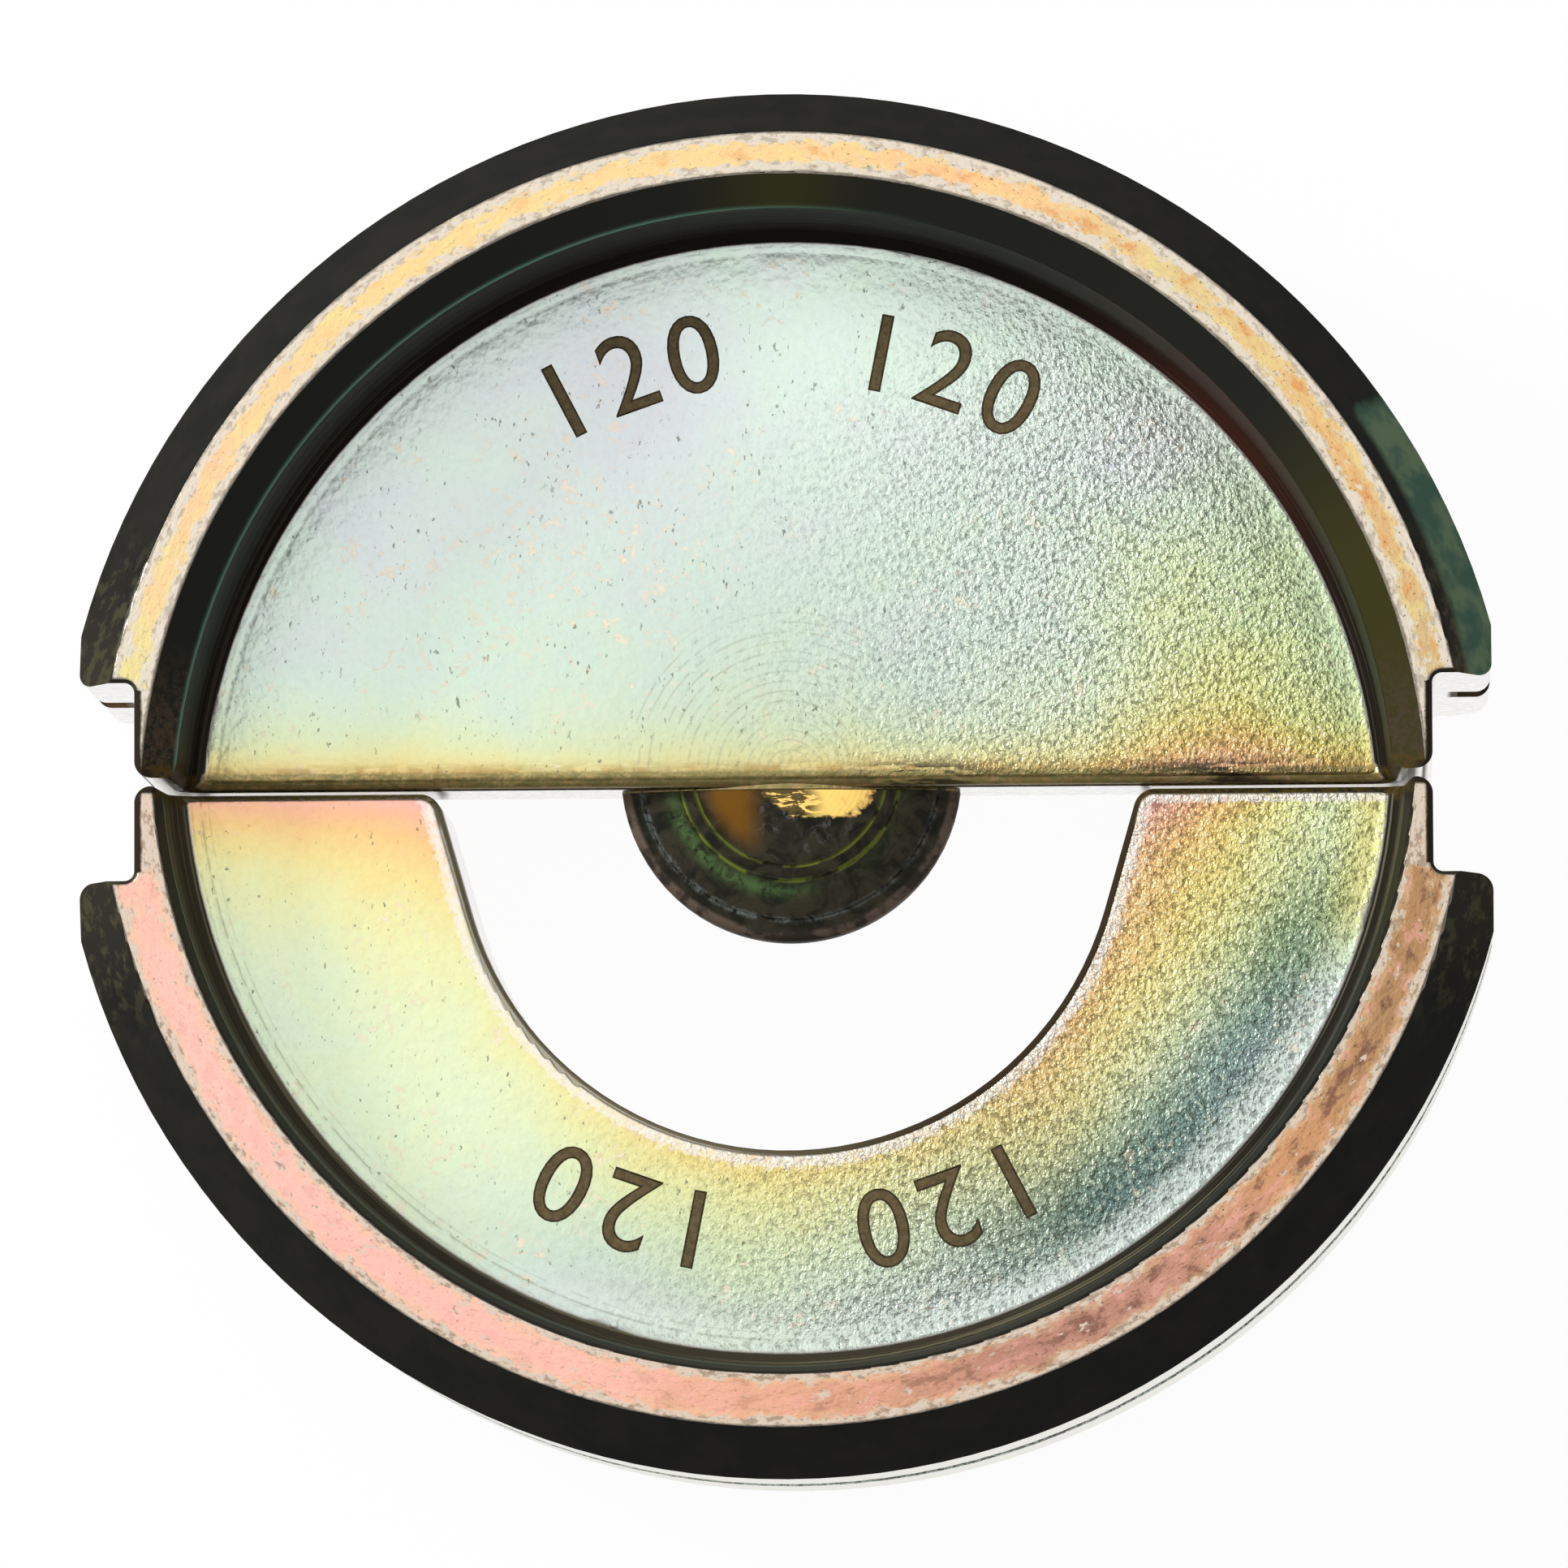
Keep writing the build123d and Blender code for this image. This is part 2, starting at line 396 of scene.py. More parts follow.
def nestWebShade(bench, spot):
    # painted shade: a dark band low on the right, a darker right side and bottom, and less blue on the right
    # horn and in the middle; the band, the right side and the bottom are weaker near the wall
    look = nestFilm
    x, y = spot["x"], spot["y"]
    band = bench.bell(spot["radius"], *look["bandRadius"]) * bench.smooth(x, *look["bandSpan"])
    band = band * bench.smooth(y, *look["bandRise"])
    nearWall = bench.smooth(spot["radius"], *look["wallRadius"]) * bench.smooth(y, *look["wallRise"])
    right = bench.smooth(x, *look["dullSpan"])
    high = right * bench.smooth(y, *look["blueRise"]) * bench.smooth(spot["outward"], *look["blueOutward"])
    bottom = bench.smooth(y, *look["bottomRise"]) * bench.smooth(x, *look["bottomSpan"]) * look["bottomLoss"]
    bottom = bottom + bench.patch(spot, look["lowRight"])
    keep = 1 - nearWall * look["wallKeep"]
    losses = [band * first + right * second for first, second in zip(look["bandLoss"], look["dullLoss"])]
    losses[2] = losses[2] + high * look["hornBlueLoss"]
    red, green, blue = [1.0 - (loss + bottom) * keep for loss in losses]
    return bench.point(red, green, blue - bench.bell(x, *look["middleBlue"]) * look["middleBlueLoss"])


# Relief and wear of both webs
webLook = {
    "eveningWidth": 11.5, "eveningLoss": 0.23,
    "farBack": (9.0, 16.0), "farShift": 5,
    "grainScale": 5.6, "grainTurn": -18, "grainStretch": (1.1, 0.9, 1.0),
    "hollowTone": "35391c", "hollowDepth": 0.72, "hollowFine": 0.04, "hollowCoarse": 0.68,
    "crestTone": "f4f7d4", "crestDepth": 0.62, "crestFine": 0.03, "crestCoarse": 0.38,
    "byWall": (-1.7, -0.6),
    "reliefFine": 0.010, "reliefCoarse": 0.102, "reliefByWall": 0.05,
    "lumpScale": 1.9, "lumpHeight": 0.04,
    "pitScale": (6.5, 3.4, 3.4), "pitTurn": -38, "pitPatchScale": 0.55, "pitTone": "6c7262", "pitAmount": 0.8,
    "rubScale": 2.2, "rubPatchScale": 0.42, "rubCentre": (-6.2, 7.2), "rubSize": (3.6, 4.6),
    "rubRimTone": "e3b797", "rubRimAmount": 0.5, "rubTone": "e6dfcb", "rubAmount": 0.85,
    "runOutLines": ((-0.72, 0.035, 1), (-0.95, 0.025, 0.5)), "runOutSpan": (6.0, -4.0),
    "runOutTone": "59643f", "runOutAmount": 0.38,
    "stainBack": (0.98, 0.66), "stainTone": "b08232", "stainAmount": 0.45,
    "scuffCentre": 0.6, "scuffRadius": (6.5, 4.5), "scuffTurns": 21,
    "scuffTone": "8f9c82", "scuffAmount": 0.35,
}


def pebbled(bench, spot, colour, coarse, lumps):
    # painted shade in the hollows and painted highlights on the crests of the grain, and the relief under
    # them
    look = webLook
    turned = bench.stretched(spot["place"], look["grainTurn"], look["grainStretch"])
    relief = bench.noise(turned, look["grainScale"], 2.0, 0.66)
    grain = bench.noise(turned, look["grainScale"], 4.0, 0.64)
    byWall = bench.smooth(spot["fromWall"], *look["byWall"])
    hollows = bench.smooth(grain, 0.48, 0.40) * (look["hollowFine"] + coarse * look["hollowCoarse"])
    crests = bench.smooth(grain, 0.53, 0.60) * (look["crestFine"] + coarse * look["crestCoarse"])
    crests = crests * (1 - byWall * 0.6)
    colour = bench.mix(hollows, colour, bench.mix(look["hollowDepth"], colour, look["hollowTone"]))
    colour = bench.mix(crests, colour, bench.mix(look["crestDepth"], colour, look["crestTone"]))
    reliefHeight = look["reliefFine"] + coarse * (look["reliefCoarse"] - byWall * look["reliefByWall"])
    return colour, relief * reliefHeight + lumps * look["lumpHeight"]


def pitted(bench, spot, colour):
    # small slanting pits, in patches
    look = webLook
    pitField = bench.noise(bench.stretched(spot["place"], look["pitTurn"], look["pitScale"]), 1.0, 2.0, 0.6)
    pitPatches = bench.noise(spot["place"], look["pitPatchScale"], 2.0, 0.5)
    pits = bench.smooth(pitField, 0.65, 0.70) * bench.smooth(pitPatches, 0.38, 0.60)
    return bench.mix(pits * look["pitAmount"], colour, look["pitTone"])


def rubbed(bench, spot, half, colour, coarse, rubField):
    # spots rubbed down to bare metal, with a salmon rim, mostly where the web is smooth
    look = webLook
    centreX, centreY = look["rubCentre"]
    sizeX, sizeY = look["rubSize"]
    where = bench.smooth(bench.noise(spot["place"], look["rubPatchScale"], 2.0, 0.5), 0.5, 0.64)
    fromCentre = bench.hypot((spot["x"] - centreX) / sizeX, (spot["y"] - centreY) / sizeY)
    where = bench.most(where, bench.bell(fromCentre, 0, 1) * half["turned"])
    where = where * (1 - coarse * 0.6)
    rubRim = bench.smooth(rubField, 0.585, 0.61) * where
    colour = bench.mix(rubRim * look["rubRimAmount"], colour, look["rubRimTone"])
    return bench.mix(bench.smooth(rubField, 0.61, 0.64) * where * look["rubAmount"], colour, look["rubTone"])


def turnedMarks(bench, spot, half, colour, lumps, rubField):
    # run-out lines by the wall, and on the punch half a stained edge and scuffs round the punch
    look = webLook
    runOut = 0
    for place, width, amount in look["runOutLines"]:
        runOut = runOut + bench.bell(spot["fromWall"], place, width) * amount
    runOut = runOut * bench.smooth(spot["x"], *look["runOutSpan"]) * bench.smooth(lumps, 0.36, 0.5)
    colour = bench.mix(runOut * look["runOutAmount"], colour, look["runOutTone"])
    darkened = bench.smooth(spot["back"], *look["stainBack"]) * bench.smooth(lumps, 0.42, 0.60)
    colour = bench.mix(darkened * half["turned"] * look["stainAmount"], colour, look["stainTone"])
    away = bench.hypot(spot["x"], spot["back"] - look["scuffCentre"])
    scuffs = bench.maths("SINE", away * look["scuffTurns"])
    scuffs = scuffs * bench.smooth(away, *look["scuffRadius"]) * half["turned"]
    scuffs = bench.smooth(scuffs, 0.5, 1.0) * bench.smooth(rubField, 0.42, 0.56)
    return bench.mix(scuffs * look["scuffAmount"], colour, look["scuffTone"])


def webFinish(bench, spot, half, film, shade):
    # film colour of the web with its relief, pits, rubbed spots and marks of turning
    look = webLook
    colour = bench.mix(1.0, bench.ramp(film, filmStops), shade, "MULTIPLY")
    # the lamps' glow in the middle is evened out
    evening = 1 - bench.bell(bench.hypot(spot["x"], spot["y"]), 0, look["eveningWidth"]) * look["eveningLoss"]
    colour = bench.mix(1.0, colour, bench.point(evening, evening, evening), "MULTIPLY")
    farBack = bench.smooth(spot["back"], *look["farBack"]) * look["farShift"] * half["turned"]
    coarse = bench.smooth(spot["x"] - farBack, *half["coarseSpan"])
    lumps = bench.noise(spot["place"], look["lumpScale"], 2.0, 0.55)
    rubField = bench.noise(spot["place"], look["rubScale"], 4.0, 0.66, 0.9)
    colour, height = pebbled(bench, spot, colour, coarse, lumps)
    colour = pitted(bench, spot, colour)
    colour = rubbed(bench, spot, half, colour, coarse, rubField)
    return turnedMarks(bench, spot, half, colour, lumps, rubField), height


# Worn border of the webs' edges, dark streaks beside the punch, and the dark line round the nest, which is
# painted shade on its rounded edge
edgeLook = {
    "borderWobble": 0.4, "borderBlend": 0.1,
    "nestBorder": (0.60, 0.48), "nestWobble": 1.1, "nestSpan": (0.0, 6.0),
    "wornLeast": 0.5, "wornMore": 0.45,
    "nestWall": (0.10, 0.04), "wallStart": (0.9, 2.1),
    "sootSpots": ((4.1, 1.5, 1), (13.0, 2.4, 0.8)), "sootLeast": 0.25, "sootWobble": 0.9,
    "sootBack": (1.12, 0.72), "sootTone": "2d2918", "sootAmount": 0.9,
    "lineLeft": 0.08, "lineRight": 0.10, "lineSpan": (-6.0, 6.0), "lineBlend": 0.06,
    "lineOutward": (0.50, 0.44), "lineBack": (0.9, 1.3),
}


def webEdge(bench, spot, half):
    # 1 on the worn border along the parting edge; the nest half has it on the right, and round the nest
    look = edgeLook
    end = partingY + half["edgeRadius"] + half["edgeBorder"]
    wobble = spot["dust"] - 0.5
    near = bench.smooth(spot["back"] + wobble * look["borderWobble"], end, end - look["borderBlend"])
    if "outward" in spot:
        roundNest = bench.smooth(spot["outward"] + wobble * look["nestWobble"], *look["nestBorder"])
        near = bench.most(near * bench.smooth(spot["x"], *look["nestSpan"]), roundNest)
    return near * spot["toWeb"]


def nestWallBare(bench, spot):
    # 1 on the wall of the nest, from a little below its upper edge downwards
    look = edgeLook
    start, end = [spot["webDeep"] + step for step in look["wallStart"]]
    below = bench.smooth(spot["deep"], start, end)
    below = bench.most(below, bench.smooth(spot["z"], middleZ, middleZ - 0.3))
    return bench.smooth(spot["outward"], *look["nestWall"]) * spot["upright"] * below


def edgeStreaked(bench, spot, colour):
    # dark streaks on the punch half's parting edge, thickest beside the punch and on the right
    look = edgeLook
    streaky = bench.noise(bench.stretched(spot["place"], 0, (0.5, 3.0, 1.0)), 1.3, 4.0, 0.65)
    where = 0
    for centre, width, amount in look["sootSpots"]:
        where = where + bench.bell(spot["x"], centre, width) * amount
    where = bench.least(where + look["sootLeast"], 1.0)
    edgeStreak = bench.smooth(spot["back"] + (streaky - 0.5) * look["sootWobble"], *look["sootBack"]) * where
    return bench.mix(edgeStreak * bench.smooth(streaky, 0.40, 0.54) * look["sootAmount"], colour, look["sootTone"])


def levelNest(bench, spot, level):
    # how level a face looks, with the nest's edge judged by distance so that its line runs smooth
    look = edgeLook
    lineEnd = look["lineLeft"] + bench.smooth(spot["x"], *look["lineSpan"]) * look["lineRight"]
    atEdge = bench.smooth(spot["outward"], *look["lineOutward"]) * spot["toWeb"]
    atEdge = atEdge * bench.smooth(spot["back"], *look["lineBack"])
    return level * (1 - atEdge) + bench.smooth(spot["outward"] - lineEnd, 0.0, look["lineBlend"]) * atEdge


# The punch; radii are from the middle of its coloured rings, in millimetres
punchLook = {
    "centreBack": 0.725, "edgeBack": (-0.01, -0.06), "topFacing": (0.2, 0.35),
    "body": ("22221d", "38352a"),
    "blotTone": "5b5a5c", "blotRadius": (3.4, 1.6), "blotAmount": 0.7,
    "brownTone": "7a5218", "brownRadius": (2.95, 2.2), "brownSpan": (-0.6, -1.6), "brownAmount": 0.85,
    "leftAngles": ((25, -20), (-95, -60)),
    "greenTone": "4f6b3f", "greenRadius": 3.68, "greenWidth": 0.22, "greenLeast": 0.10, "greenLeft": 0.75,
    "outerTone": "7d8582", "outerRadius": 4.55, "outerWidth": 0.08, "outerLeast": 0.38, "outerLeft": 0.42,
    "lineTone": "7d8a35", "lineRings": ((2.95, 0.045), (3.38, 0.05)), "lineAmount": 0.8,
    "goldTones": ("ffd673", "f2b968"), "goldX": 0.95, "goldSize": (1.65, 0.80), "goldRagged": 0.9,
    "goldRadius": (3.0, 2.8), "scratchCentre": (-0.25, -0.35), "scratchSize": (1.3, 0.9),
    "scratchAmount": 0.9,
    "rimTones": ("3a3430", "6a5b50"), "rimRadius": (4.82, 4.98), "rimAmount": 0.85,
    "turnStep": 0.16, "turnHeight": 0.0008,
}


def goldHighlightMask(bench, spot, away):
    # where the painted gold highlight lies: a ragged patch by the web, scored through in its middle
    look = punchLook
    x, back, place = spot["x"], spot["back"], spot["place"]
    width, depth = look["goldSize"]
    ragged = bench.noise(place, 1.9, 4.0, 0.65, 0.5) - 0.5
    shape = bench.hypot((x - look["goldX"]) / width, back / depth) + ragged * look["goldRagged"]
    goldHighlight = bench.smooth(shape, 1.05, 0.85) * bench.smooth(away, *look["goldRadius"])
    scored = bench.noise(bench.stretched(place, 8, (1.6, 6.5, 1.6)), 1.0, 3.0, 0.7, 0.6)
    centreX, centreBack = look["scratchCentre"]
    width, depth = look["scratchSize"]
    zone = bench.smooth(bench.hypot((x - centreX) / width, (back - centreBack) / depth), 1.1, 0.6)
    return goldHighlight * (1 - bench.smooth(scored, 0.42, 0.48) * zone * look["scratchAmount"])


def punchFinish(bench, spot):
    # dark green lens with turned rings, a painted gold highlight by the web, painted green and grey
    # reflections in rings towards the left, and a brown rounded rim
    look = punchLook
    x, place = spot["x"], spot["place"]
    below = look["centreBack"] - spot["back"]
    away = bench.hypot(x, below)
    around = bench.direction(x, below)
    cloud = bench.noise(place, 1.1, 4.0, 0.6, 0.8)
    blots = bench.noise(place, 2.2, 5.0, 0.7, 1.0)
    colour = bench.mix(bench.smooth(cloud, 0.38, 0.62), *look["body"])
    blotted = bench.smooth(blots, 0.55, 0.66) * bench.smooth(away, *look["blotRadius"])
    colour = bench.mix(blotted * look["blotAmount"], colour, look["blotTone"])
    inner = bench.smooth(away, *look["brownRadius"]) * bench.smooth(x, *look["brownSpan"])
    colour = bench.mix(inner * look["brownAmount"], colour, look["brownTone"])
    upperEnd, lowerEnd = look["leftAngles"]
    leftSide = bench.smooth(around, *upperEnd) * bench.smooth(around, *lowerEnd)
    # painted reflections: a green ring and a grey outer ring, strongest on the left
    green = bench.bell(away, look["greenRadius"], look["greenWidth"])
    green = green * (look["greenLeast"] + leftSide * look["greenLeft"]) * bench.smooth(blots, 0.35, 0.6)
    colour = bench.mix(green, colour, look["greenTone"])
    outer = bench.bell(away, look["outerRadius"], look["outerWidth"])
    outer = outer * (look["outerLeast"] + leftSide * look["outerLeft"]) * bench.smooth(blots, 0.4, 0.62)
    colour = bench.mix(outer, colour, look["outerTone"])
    lineBreaks = bench.smooth(bench.noise(place, 1.0, 3.0, 0.6), 0.42, 0.56)
    lines = bench.most(*[bench.bell(away, radius, width) for radius, width in look["lineRings"]])
    colour = bench.mix(lines * lineBreaks * look["lineAmount"], colour, look["lineTone"])
    # painted gold highlight on the lens, by the web
    goldHighlight = goldHighlightMask(bench, spot, away)
    colour = bench.mix(goldHighlight, colour, bench.mix(bench.smooth(cloud, 0.45, 0.6), *look["goldTones"]))
    rim = bench.smooth(away, *look["rimRadius"]) * look["rimAmount"]
    colour = bench.mix(rim, colour, bench.mix(lineBreaks, *look["rimTones"]))
    height = bench.maths("SINE", away * (2 * pi / look["turnStep"])) * look["turnHeight"]
    return colour, height, goldHighlight


# Flat rim faces; the noises that follow the ring are half as fine along it as across
ringLook = {
    "middleRadius": 19.9, "stretch": (1.0, 0.5, 1.0),
    "wobbleScale": 2.6, "mottleScale": 4.8, "toneScale": 1.7, "streakScale": 1.9, "speckScale": 7.0,
    "shoulder": (2.7, 3.0), "endShare": 0.25, "ragged": 1.15,
    "lightAmount": 0.4, "darkLeast": 0.15, "darkRough": 0.65,
    "wearBlend": 0.05, "fringeWidth": 0.22, "fringeAmount": 0.3, "bareAmount": 0.92,
    "lineTone": "4d4632", "lineAmount": 0.7,
    "speckTone": "6d5238", "speckLeast": 0.35, "speckRough": 0.5,
    "cast": (0.87, 0.83, 0.84, 1), "mottleHeight": 0.045,
}


def ringFinish(bench, spot, half):
    # flat rim face: film colour with worn borders, bare streaks, and brown outlines of painted shade at the
    # horn ends
    look = ringLook
    wear, blend = half["ringWear"], look["wearBlend"]
    along = bench.point(spot["radius"], spot["angle"] * radians(look["middleRadius"]), spot["z"] * 0.3)
    lengthways = bench.stretched(along, 0, look["stretch"])
    wobble = bench.noise(lengthways, look["wobbleScale"], 4.0, 0.7) - 0.5
    mottle = bench.noise(lengthways, look["mottleScale"], 2.0, 0.7)
    tone = bench.noise(lengthways, look["toneScale"], 4.0, 0.68)
    sideEdge = bench.least(spot["radius"] - half["rimInner"], rimOuter - spot["radius"])
    sideGap = neckHalfWidth - spot["beside"] + bench.smooth(spot["back"], *look["shoulder"]) * neckInset
    endGap = bench.least(sideGap, spot["back"] - partingY)
    colour = bench.ramp(spot["angle"] / 180 + (spot["cloud"] - 0.5) * half["ringDrift"], half["ringStops"])
    colour = bench.mix(bench.smooth(tone, 0.52, 0.62) * look["lightAmount"], colour, half["ringLight"])
    rough = bench.smooth(spot["x"], *half["ringRough"])
    darkAmount = look["darkLeast"] + rough * look["darkRough"]
    colour = bench.mix(bench.smooth(tone, 0.47, 0.36) * darkAmount, colour, half["ringDark"])
    edgeGap = bench.least(sideEdge, endGap * look["endShare"]) + wobble * look["ragged"]
    worn = bench.smooth(edgeGap, wear + blend, wear - blend)
    streaks = bench.smooth(bench.noise(lengthways, look["streakScale"], 4.0, 0.72), 0.60, 0.64)
    bare = bench.mix(bench.smooth(mottle, 0.38, 0.50), half["bareDark"], half["bareLight"])
    fringe = bench.smooth(edgeGap, wear + look["fringeWidth"], wear + blend)
    colour = bench.mix(fringe * look["fringeAmount"], colour, half["ringFringe"])
    colour = bench.mix(bench.most(worn, streaks) * look["bareAmount"], colour, bare)
    rimLine = bench.smooth(sideEdge + wobble * 0.18, 0.10, 0.02)
    colour = bench.mix(rimLine * look["lineAmount"], colour, look["lineTone"])
    specks = bench.smooth(bench.noise(spot["place"], look["speckScale"], 2.0, 0.6), 0.62, 0.72)
    colour = bench.mix(specks * (look["speckLeast"] + rough * look["speckRough"]), colour, look["speckTone"])
    colour = bench.mix(1.0, colour, look["cast"], "MULTIPLY")
    # the outline is painted shade where the rim rounds off at the horn ends
    outline = bench.smooth(endGap + wobble * 0.12, 0.28, 0.18)
    return colour, mottle * look["mottleHeight"], outline


# Sloping faces and the recesses are painted near black as painted shade and a painted dark reflection; those
# that stand upright outside are bare and pale
sideLook = {
    "slopeTones": ("1c1c1a", "22211d"), "endTone": "302c25", "endBack": (7.0, 3.0), "endAmount": 0.8,
    "oilyTone": "4a4830", "oilyBack": (8.5, 5.0), "oilyAmount": 0.6,
    "greenTones": ("3f5a4c", "5f7258"), "greenAngle": (35.5, 34.0), "greenRadius": (20.8, 21.1),
    "punchMouth": ("232420", "39371c"), "oliveLow": (42, 22), "oliveTop": (90, 5.5), "oliveTopAmount": 0.7,
    "punchMouthEnd": "453a2e", "mouthEndBack": (4.5, 1.5),
    "punchWall": ("1f1b17", "3a2018"), "rustAngle": (42, 14),
    "punchLineTone": "4b463c", "punchLineAmount": 0.5,
    "nestMouth": ("23221d", "34322a"), "mouthAngle": (40, 80),
    "nestWall": ("24221c", "3f3a2f"), "wallAngle": (45, 85),
    "nestLineTone": "75705a", "nestLineAmount": 0.7,
    "mouthLineTone": "5f8471", "mouthLineWidth": 0.04, "mouthLineSpan": (6.0, -6.0), "mouthLineAmount": 0.8,
    "mouthBlend": 0.05,
    "grooveHalf": (0.86, 0.82), "grooveInner": (20.3, 20.5), "grooveOuter": (21.97, 21.9),
    "grooveShade": (21.0, 21.8), "grooveTones": ("5a4632", "2a2119"),
    "burntTones": ("7a7158", "382e20"), "burntSpan": (-6.0, 6.0), "burntOutward": (0.40, 0.28),
    "burntLowTone": "8b8366", "burntLow": (0.30, 0.8),
    "partingTone": "4a3c1a", "partingBack": (0.55, 0.3), "outlineTone": "2f271e",
    "bareTones": ("dcd6d4", "faf9f4"), "bearingTones": ("d0ccc1", "e2dfd3"), "bearingDepth": (0.3, 0.1),
    "bearingCloud": "d9d8bd", "bearingCloudAmount": 0.6,
}


def punchSides(bench, spot, slope, turnLines):
    # painted shade tones of the punch half's bevel, mouth and wall, with a green painted reflection on the
    # right of the bevel
    look = sideLook
    angle, cloud, dust = spot["angle"], spot["cloud"], spot["dust"]
    green = bench.smooth(angle + (cloud - 0.5) * 4, *look["greenAngle"])
    green = green * bench.smooth(spot["radius"], *look["greenRadius"])
    slope = bench.mix(green, slope, bench.mix(bench.smooth(cloud, 0.4, 0.6), *look["greenTones"]))
    olive = bench.smooth(angle, *look["oliveLow"])
    olive = olive + bench.bell(angle, *look["oliveTop"]) * look["oliveTopAmount"]
    mouth = bench.mix(olive, *look["punchMouth"])
    atEnds = bench.smooth(spot["back"], *look["mouthEndBack"]) * bench.smooth(dust, 0.38, 0.6)
    mouth = bench.mix(atEnds, mouth, look["punchMouthEnd"])
    # painted shade on the punch half's wall, browner at one angle, with turning lines
    wall = bench.mix(bench.bell(angle, *look["rustAngle"]), *look["punchWall"])
    return slope, mouth, bench.mix(turnLines * look["punchLineAmount"], wall, look["punchLineTone"])


def nestSides(bench, spot, slope, turnLines):
    # the same for the nest half, paler towards the left
    look = sideLook
    mouth = bench.mix(bench.smooth(spot["angle"], *look["mouthAngle"]), *look["nestMouth"])
    wall = bench.mix(bench.smooth(spot["angle"], *look["wallAngle"]), *look["nestWall"])
    return slope, mouth, bench.mix(turnLines * look["nestLineAmount"], wall, look["nestLineTone"])


def grooveZone(bench, spot):
    # 1 in the retaining groove of the round back
    look = sideLook
    zone = bench.smooth(middleZ - spot["deep"], *look["grooveHalf"])
    zone = zone * bench.smooth(spot["radius"], *look["grooveInner"])
    return zone * bench.smooth(spot["radius"], *look["grooveOuter"])


def darkSides(bench, spot, half, inGroove):
    # every face with painted shade: bevel, mouth, recess wall, groove, the nest's edge and the parting edges
    look = sideLook
    x, back, radius, deep = spot["x"], spot["back"], spot["radius"], spot["deep"]
    slope = bench.mix(bench.smooth(spot["cloud"], 0.35, 0.65), *look["slopeTones"])
    slope = bench.mix(bench.smooth(back, *look["endBack"]) * look["endAmount"], slope, look["endTone"])
    # olive mottling in the painted shade, nearer the parting plane
    oliveMottle = bench.smooth(bench.noise(spot["place"], 1.6, 3.0, 0.65), 0.48, 0.62)
    oliveMottle = oliveMottle * bench.smooth(back, *look["oilyBack"])
    slope = bench.mix(oliveMottle * look["oilyAmount"], slope, look["oilyTone"])
    turns = bench.noise(bench.point(deep * 7, spot["angle"] * 0.012, spot["z"] * 0.05), 1.0, 3.0, 0.65)
    sides = nestSides if "outward" in spot else punchSides
    slope, mouth, wall = sides(bench, spot, slope, bench.smooth(turns, 0.54, 0.62))
    depth, blend = half["mouthDepth"], look["mouthBlend"]
    inside = bench.mix(bench.smooth(deep, depth - blend, depth + blend), mouth, wall)
    # painted highlight: a thin light line where the mouth meets the wall, stronger on the left
    mouthHighlight = bench.bell(deep, depth, look["mouthLineWidth"]) * bench.smooth(x, *look["mouthLineSpan"])
    inside = bench.mix(mouthHighlight * look["mouthLineAmount"], inside, look["mouthLineTone"])
    dark = bench.mix(spot["inRecess"], slope, inside)
    # painted shade in the retaining groove, darker outwards
    grooveTone = bench.mix(bench.smooth(radius, *look["grooveShade"]), *look["grooveTones"])
    dark = bench.mix(inGroove, dark, grooveTone)
    if "outward" in spot:
        # painted shade on the nest's rounded edge, paler on the left and further down
        nestEdgeShade = bench.mix(bench.smooth(x, *look["burntSpan"]), *look["burntTones"])
        start, end = [spot["webDeep"] + step for step in look["burntLow"]]
        nestEdgeShade = bench.mix(bench.smooth(deep, start, end), nestEdgeShade, look["burntLowTone"])
        dark = bench.mix(bench.smooth(spot["outward"], *look["burntOutward"]), dark, nestEdgeShade)
    # painted shade on the rounded parting edges, mottled
    start, end = [partingY + step for step in look["partingBack"]]
    partingEdge = bench.smooth(back, start, end) * bench.smooth(spot["dust"], 0.35, 0.6)
    return bench.mix(partingEdge, dark, look["partingTone"])


def bareSides(bench, spot):
    # bright parting faces and flats, and the yellower bearing surface of the round back
    look = sideLook
    dust = spot["dust"]
    bare = bench.mix(bench.smooth(dust, 0.38, 0.62), *look["bareTones"])
    bearing = bench.mix(bench.smooth(dust, 0.25, 0.75), *look["bearingTones"])
    clouded = bench.smooth(spot["cloud"], 0.40, 0.64) * look["bearingCloudAmount"]
    bearing = bench.mix(clouded, bearing, look["bearingCloud"])
    start, end = [jawRadius - depth for depth in look["bearingDepth"]]
    return bench.mix(bench.smooth(spot["radius"], start, end), bare, bearing)


# How the plated metal and the dull shader with painted dark shade take the light
steelLook = {
    "metallicLoss": 0.42, "roughness": 0.2, "roughnessLevel": 0.13, "roughnessDust": 0.2,
    "stainRoughness": 0.42, "stainSpecular": 0.01,
    "partingBlend": (0.06, 0.02), "roundedFacing": (0.42, 0.56),
}


